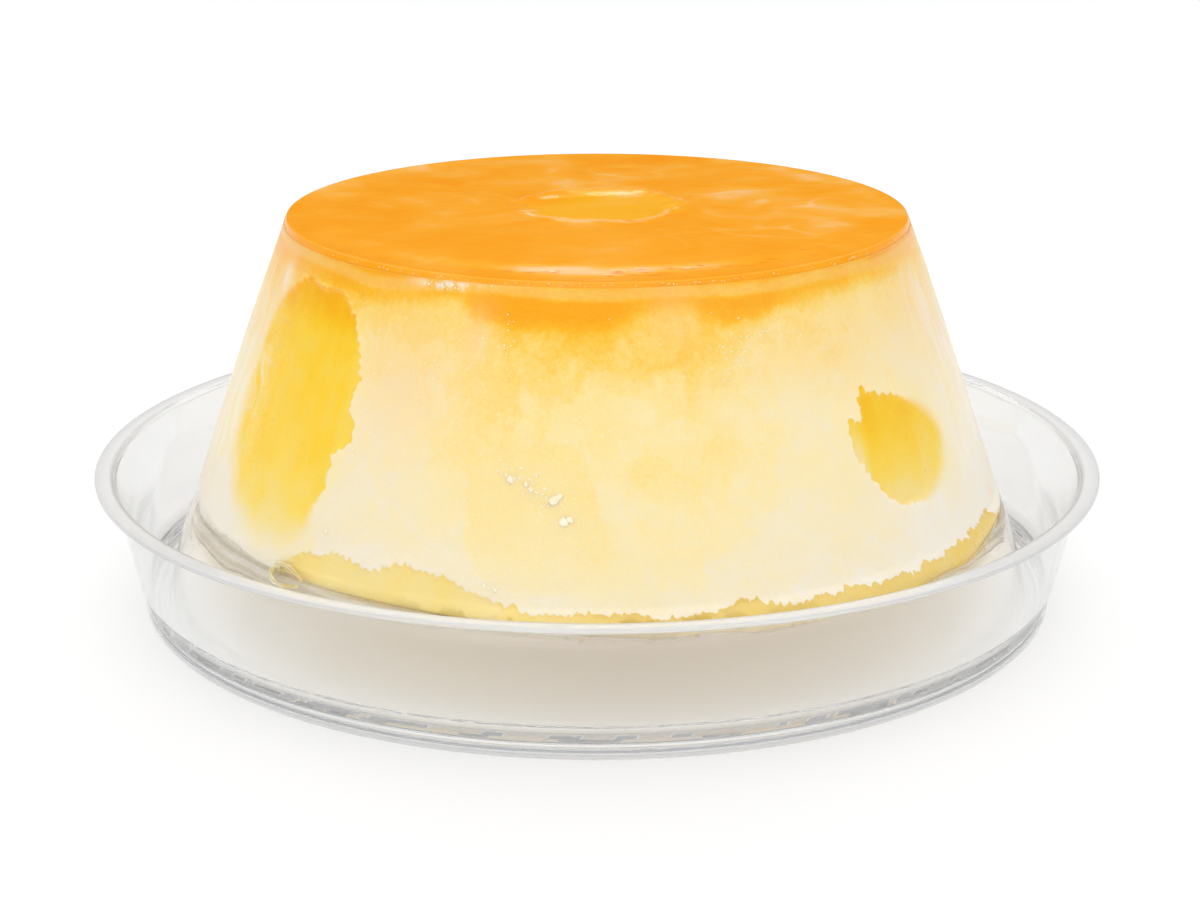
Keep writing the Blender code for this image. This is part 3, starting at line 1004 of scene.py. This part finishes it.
# ---------------------------------------------------------------- what has seeped from the foot

WHEY_REACH = ((-180, 1.2), (-150, 2.0), (-120, 1.6), (-95, 2.2), (-80, 4.4), (-70, 5.2), (-60, 5.0),
              (-52, 4.4), (-45, 4.8), (-38, 4.2), (-33, 4.0), (-27, 3.4), (-20, 2.4), (-12, .8),
              (0, .5), (20, .6), (40, .4), (60, .8), (72, 3.4), (85, 2.6), (110, .8), (140, 1.5))


WHEY_CLIMB = ((-180, .3), (-110, .3), (-90, 1.2), (-72, 2.6), (-60, 2.4), (-50, 1.8), (-40, 1.1), (-30, .5),
              (-15, .1), (55, 0), (66, .3), (75, 1.5), (85, 1.1), (110, .3))


def on_platform(reach, lift):
    """A place on the platform, from how far it lies past the start of the rounded edge."""
    bend = np.degrees(np.maximum(reach, 0) / SHOULDER)
    radius, height = on_shoulder(90 - bend, lift)
    return radius + np.minimum(reach, 0), height


def make_whey():
    """A thin clear film that creeps out from under the foot and over the platform's edge."""
    columns, steps = 720, 12
    azimuth = np.linspace(-180, 180, columns, endpoint=False)
    climb = round_the_flan(azimuth, WHEY_CLIMB) * (1 + 0.12 * side_noise(azimuth, azimuth * 0, 6, 9, 84))
    start = (90 - contact_angle(azimuth)) / 180 * math.pi * SHOULDER - 0.5 + 0.75 * climb
    reach = round_the_flan(azimuth, WHEY_REACH) + 0.35 * side_noise(azimuth, azimuth * 0, 5, 9, 81)
    reach = reach - 0.6 * climb
    reach = np.maximum(reach, 0.25) + 0.5
    deep = 0.3 + 0.15 * reach + climb
    rings = []
    for share in np.linspace(0, 1, steps):
        thick = deep * (1 - share) ** 1.8 + 0.2 * np.sqrt(np.maximum(1 - share ** 6, 0))
        rings.append(turn_to_place(azimuth, *on_platform(start + reach * share, thick)))
    for share in np.linspace(1, 0, steps // 2):
        rings.append(turn_to_place(azimuth, *on_platform(start + reach * share, -0.06)))
    rings = np.array(rings)
    faces = wrap_faces(len(rings), columns)
    last = (len(rings) - 1) * columns
    for column in range(columns):
        beside = (column + 1) % columns
        faces.append((last + column, column, beside, last + beside))
    piece = mesh_piece("whey_film", rings.reshape(-1, 3), faces, whey())
    around = np.broadcast_to(azimuth, rings.shape[:2])
    depth = np.concatenate([np.linspace(0, 1, steps), np.linspace(1, 0, steps // 2)])[:, None] + 0 * around
    # Where the murk and painted shade lie: most at the left and right of the foot, some at the back.
    murky_and_shaded = np.clip(blot(around, depth * 0, (-48, 0), (34, 1)) + blot(around, depth * 0, (78, 0), (12, 1))
                     + 0.4 * blot(around, depth * 0, (180, 0), (60, 1)), 0, 1)
    ribbons = 0.75 + 0.25 * side_noise(around, depth * 10, 7, 2, 85)
    brush(piece, "murk", (0.62 * murky_and_shaded * ribbons * (1 - eased(depth, 0.7, 1.0))).ravel())
    bands = 0.5 + 0.5 * np.sin(15 * depth + 2.2 * side_noise(around, depth * 8, 12, 5, 83))
    brush(piece, "streak", bands.ravel())


# The drip's middle line: azimuth, height and thickness.
DRIP_PATH = ((-40.2, 21.4, .34), (-42.2, 22.4, .42), (-44.2, 23.0, .5), (-45.8, 22.6, .6), (-46.4, 21.5, .62),
             (-45.8, 20.4, .55), (-44.2, 19.9, .45), (-42.2, 20.1, .38), (-40.4, 20.7, .3))


def make_drip():
    """A hooked drip of half-set custard that hangs from the foot onto the platform."""
    along = np.linspace(0, 1, 56)
    stops = np.linspace(0, 1, len(DRIP_PATH))
    azimuth, height, thick = (np.interp(along, stops, values) for values in zip(*DRIP_PATH))
    smooth = np.ones(9) / 9
    azimuth, height = (np.convolve(np.pad(values, 4, "edge"), smooth, "valid") for values in (azimuth, height))
    radius = 80.4 + 0.8 * (22.6 - height)
    places = turn_to_place(azimuth, radius, height)
    outward = turn_to_place(azimuth, np.ones(56), np.zeros(56))
    size = thick * (1 + 0.15 * np.sin(along * 40))
    scatter_balls("seeped_drip", places, outward, size, half_set_custard(), flat=0.7, lumpy=0.03)


def make_drops_and_crumbs():
    """Clear droplets and ochre crumbs in the wet at the foot."""
    draw = np.random.default_rng(33)
    azimuth = np.concatenate([[-29.5, -19.4, -26, -34, 71, 74], draw.uniform(-95, -10, 10),
                              draw.uniform(80, 200, 14)])
    size = np.concatenate([[.55, .75, .3, .35, .35, .4], draw.uniform(0.12, 0.3, 24)])
    contact = (90 - contact_angle(azimuth)) / 180 * math.pi * SHOULDER
    reach = contact + draw.uniform(0.4, 1.6, azimuth.shape)
    places = turn_to_place(azimuth, *on_platform(reach, size * 0.4))
    outward = places / np.linalg.norm(places, axis=1)[:, None] + np.array([0, 0, 1.2])
    outward /= np.linalg.norm(outward, axis=1)[:, None]
    scatter_balls("droplets", places, outward, size, whey(), flat=0.75)

    azimuth = np.concatenate([draw.uniform(-38, -18, 54), draw.uniform(-12, 30, 26),
                              draw.uniform(60, 80, 6), draw.uniform(-180, -140, 12)])
    size = draw.uniform(0.1, 0.34, azimuth.shape)
    contact = (90 - contact_angle(azimuth)) / 180 * math.pi * SHOULDER
    places = turn_to_place(azimuth, *on_platform(contact + draw.uniform(-0.5, 0.9, azimuth.shape), 0.15))
    outward = np.tile((0.0, 0.0, 1.0), (len(azimuth), 1))
    scatter_balls("crumbs", places, outward, size, toasted_crumb(), flat=0.6, lumpy=0.3, long=1.4)


# ---------------------------------------------------------------- the clear base

def rounded_corners(points, radii):
    """A path whose inner corners are rounded, each with its own radius."""
    path = [np.array(points[0], float)]
    for before, corner, after, radius in zip(points, points[1:], points[2:], radii):
        corner = np.array(corner, float)
        towards, onwards = np.array(before) - corner, np.array(after) - corner
        towards, onwards = towards / np.linalg.norm(towards), onwards / np.linalg.norm(onwards)
        half = math.acos(np.clip(towards @ onwards, -1, 1)) / 2
        cut = radius / math.tan(half)
        centre = corner + (towards + onwards) / np.linalg.norm(towards + onwards) * radius / math.sin(half)
        start, end = corner + towards * cut - centre, corner + onwards * cut - centre
        sweep = math.atan2(start[0] * end[1] - start[1] * end[0], start @ end)
        for share in np.linspace(0, 1, 7):
            c, s = math.cos(sweep * share), math.sin(sweep * share)
            path.append(centre + (start[0] * c - start[1] * s, start[0] * s + start[1] * c))
    path.append(np.array(points[-1], float))
    return np.array(path)


def beside_path(path, distance):
    """The path moved sideways, to the right of its direction."""
    ahead = np.gradient(path, axis=0)
    ahead[0], ahead[-1] = path[1] - path[0], path[-1] - path[-2]
    before = np.diff(path, axis=0)
    before = before / np.linalg.norm(before, axis=1)[:, None]
    moved = []
    for i, point in enumerate(path):
        first = before[max(i - 1, 0)]
        second = before[min(i, len(before) - 1)]
        bisector = first + second
        bisector = bisector / np.linalg.norm(bisector)
        side = np.array([bisector[1], -bisector[0]])
        stretch = 1 / max(0.4, float(bisector @ first))
        moved.append(point + side * distance * stretch)
    return np.array(moved)


def make_base():
    """The moulded sheet: rim, wall, foot ring, moat, leaning skirt and platform."""
    lean = math.radians(SKIRT_LEAN)
    shoulder_foot = PLATFORM - SHOULDER + (SHOULDER - SHEET) * math.sin(lean)
    skirt_top = PLATFORM_FLAT + (SHOULDER - SHEET) * math.cos(lean)
    skirt_foot = skirt_top + shoulder_foot * math.tan(lean)
    corner = [(RIM_RADIUS - 0.5, RIM_UNDER), (96.8, RIM_UNDER), (92.5, 6.5), (91.5, 5.0), (91.48, 3.8), (91.45, 2.7),
              (91.1, 2.3), (91.4, 1.9), (91.3, 0.0), (skirt_foot, 0.0), (skirt_top, shoulder_foot)]
    radii = [0.7, 0.8, 0.5, 0.3, 0.15, 0.12, 0.12, 0.9, 2.4]
    under = list(rounded_corners(corner, radii))
    for angle in np.linspace(SKIRT_LEAN, 90, 14)[1:]:
        bend = math.radians(angle)
        under.append(np.array([PLATFORM_FLAT + (SHOULDER - SHEET) * math.cos(bend),
                               PLATFORM - SHOULDER + (SHOULDER - SHEET) * math.sin(bend)]))
    for radius in (60, 40, 20, 5):
        under.append(np.array([radius, PLATFORM - SHEET]))
    under = np.array(under)
    upper = beside_path(under, SHEET)
    edge = []
    middle = (under[0] + upper[0]) / 2
    for turn in np.linspace(-90, 90, 9)[1:-1]:
        bend = math.radians(turn)
        edge.append(middle + np.array([0.5 * math.cos(bend), 0.5 * math.sin(bend)]))
    outline = np.array(list(upper[::-1]) + edge[::-1] + list(under))
    columns = 300
    azimuth = np.linspace(-180, 180, columns, endpoint=False)
    rings = np.array([turn_to_place(azimuth, np.full(columns, radius), np.full(columns, height))
                      for radius, height in outline])
    points, faces = turned_solid(rings, (0, 0, PLATFORM), (0, 0, PLATFORM - SHEET))
    piece = mesh_piece("clear_base", points, faces, clear_plastic())
    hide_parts("dish")
    radius, height = np.hypot(points[:, 0], points[:, 1]), points[:, 2]
    # Painted warm shade on the skirt under the flan.
    brush(piece, "filmed", eased(height, 5, 18) * (1 - eased(radius, 86, 90)))
    # Where the painted edge shade goes: a paler rim with darker lines along its edges, dark lines at the step, and a
    # paler bottom edge.
    rim = eased(height, 25.6, 26.4) * eased(radius, 96.0, 96.8)
    rim_lines = np.exp(-((radius - 99.8) / 0.35) ** 2) + np.exp(-((radius - 96.7) / 0.4) ** 2)
    outer = eased(radius, 89.5, 91)
    step = (0.6 * np.exp(-((height - 4.9) / 0.35) ** 2) + 0.4 * np.exp(-((height - 1.9) / 0.3) ** 2)) * outer
    bottom = eased(height, 1.5, 1.0) * eased(radius, 89, 90)
    brush(piece, "edge", np.clip(0.5 * rim + 0.6 * step + 0.6 * bottom, 0, 0.6))
    brush(piece, "pale", np.clip(rim * (1 - 0.6 * rim_lines) + bottom, 0, 1))
    return piece


# ---------------------------------------------------------------- the studio

def make_floor():
    mesh = bpy.data.meshes.new("floor")
    reach = 6.0
    mesh.from_pydata([(-reach, -reach, 0), (reach, -reach, 0), (reach, reach, 0), (-reach, reach, 0)],
                     [], [(0, 1, 2, 3)])
    mesh.materials.append(pale_floor())
    floor = bpy.data.objects.new("floor", mesh)
    bpy.context.scene.collection.objects.link(floor)


def softbox(name, azimuth, elevation, distance, width, height, power):
    """A rectangular area lamp that faces the flan."""
    lamp = bpy.data.lights.new(name, "AREA")
    lamp.shape = "RECTANGLE"
    lamp.size = width
    lamp.size_y = height
    lamp.energy = power
    around, up = math.radians(azimuth), math.radians(elevation)
    away = Vector((math.sin(around) * math.cos(up), -math.cos(around) * math.cos(up), math.sin(up)))
    lamp_object = bpy.data.objects.new(name, lamp)
    target = Vector((0, 0, 0.05))
    lamp_object.location = target + away * distance
    lamp_object.rotation_euler = away.to_track_quat("Z", "Y").to_euler()
    lamp_object.visible_camera = False
    bpy.context.scene.collection.objects.link(lamp_object)


def make_lights():
    softbox("overhead", 0, 84, 1.3, 1.3, 1.3, 5.2)
    softbox("front_key", -24, 48, 1.2, 1.1, 0.7, 1.35)
    softbox("front_fill", 40, 40, 1.3, 0.9, 0.6, 0.66)
    softbox("left_back", -144, 22, 1.2, 0.5, 0.7, 0.8)
    softbox("right_back", 144, 22, 1.2, 0.5, 0.7, 0.7)
    softbox("back_strip", 180, 38, 1.3, 1.0, 0.16, 1.2)


# What glossy surfaces mirror of the studio, from straight down to straight up: pale walls with a
# dark band above the horizon.
MIRRORED_WALLS = [(0.0, (0.8, 0.8, 0.8, 1)), (0.54, (0.8, 0.8, 0.8, 1)), (0.57, (0.08, 0.08, 0.08, 1)),
                  (0.7, (0.08, 0.08, 0.08, 1)), (0.77, (0.9, 0.9, 0.9, 1))]


def make_world():
    """An even white studio."""
    world = bpy.data.worlds.new("studio")
    bpy.context.scene.world = world
    world.cycles.sampling_method = "NONE"
    studio = Finish("studio", world)
    direction = studio.node("ShaderNodeTexCoord", out="Generated")
    up = studio.node("ShaderNodeSeparateXYZ", None, {0: direction}, out="Z")
    walls = studio.ramp(up * 0.5 + 0.5, MIRRORED_WALLS)
    glossy = studio.node("ShaderNodeLightPath", out="Is Glossy Ray")
    colour = studio.blend(glossy, (1, 1, 1, 1), walls)
    light = studio.node("ShaderNodeBackground", None, {"Color": colour, "Strength": 0.8})
    output = studio.tree.nodes.new("ShaderNodeOutputWorld")
    studio.tree.links.new(light.socket, output.inputs["Surface"])


def make_camera():
    """A long lens a little above the flan, looking down on it by about 17 degrees."""
    lens = bpy.data.cameras.new("camera")
    lens.sensor_width = 36
    lens.lens = 70.76
    lens.shift_x = -0.001
    camera = bpy.data.objects.new("camera", lens)
    camera.location = (0.0008, -0.4567, 0.1700)
    camera.rotation_euler = (math.pi / 2 - 0.3041, 0, 0)
    bpy.context.scene.collection.objects.link(camera)
    bpy.context.scene.camera = camera


make_camera()
make_floor()
make_lights()
make_world()
make_base()
make_custard()
make_caramel()
make_froth()
make_lip_bubbles()
make_whey()
make_drip()
make_drops_and_crumbs()

view = bpy.context.scene.view_settings
view.view_transform = "Standard"
view.look = "None"
view.exposure = 0
view.gamma = 1
